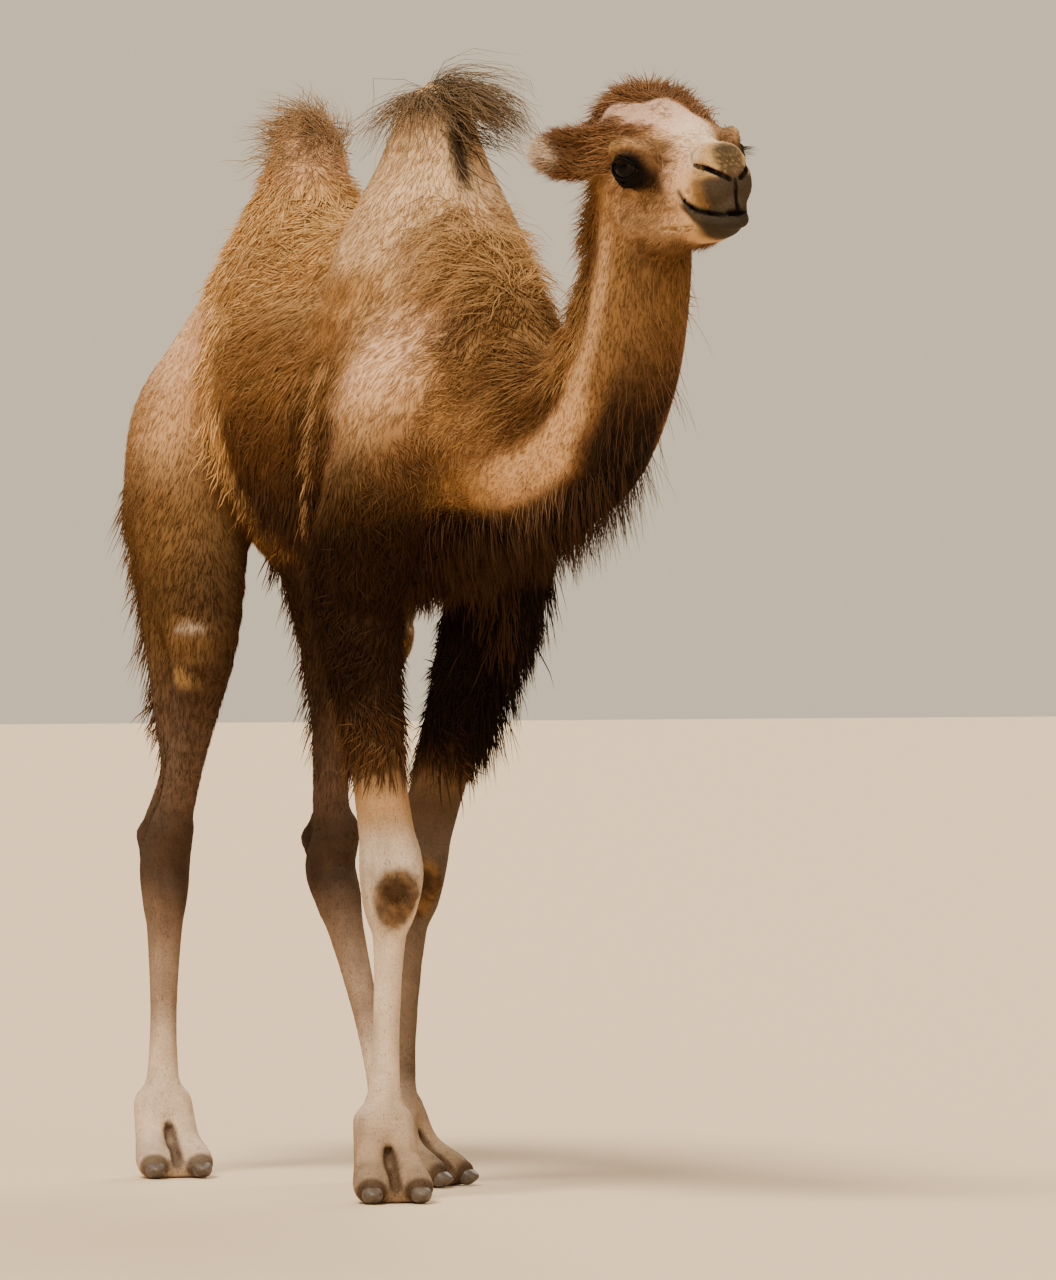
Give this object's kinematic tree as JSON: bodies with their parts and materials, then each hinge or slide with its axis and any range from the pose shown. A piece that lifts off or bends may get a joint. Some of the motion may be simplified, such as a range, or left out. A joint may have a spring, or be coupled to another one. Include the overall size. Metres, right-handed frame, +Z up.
{
  "type": "young bactrian camel",
  "caption": "Life-size still model of a young two-humped camel in mid-step with a moulting woolly coat, standing on its padded feet.",
  "frame": {"origin": "middle of the bounding box, on the floor under the feet", "axes": "+Z up; the camel faces -Y, and its left side is +X"},
  "size_m": [0.4314, 1.7486, 1.6496],
  "materials": {
    "coat": "woolly camel hair in tufts, from golden brown to dark brown",
    "face": "short hair over skin, matte",
    "eye": "wet glossy dark brown eye",
    "nail": "worn horn, satin"
  },
  "bodies": {
    "root": {"ear_left": "face", "ear_right": "face", "eye_left": "eye", "eye_right": "eye", "head": "face", "hump_front": "coat", "hump_rear": "coat", "leg_front_left": "coat", "leg_front_right": "coat", "leg_hind_left": "coat", "leg_hind_right": "coat", "neck": "coat", "tail": "coat", "toenail_front_left_left": "nail", "toenail_front_left_right": "nail", "toenail_front_right_left": "nail", "toenail_front_right_right": "nail", "toenail_hind_left_left": "nail", "toenail_hind_left_right": "nail", "toenail_hind_right_left": "nail", "toenail_hind_right_right": "nail", "trunk": "coat"}
  },
  "joints": []
}
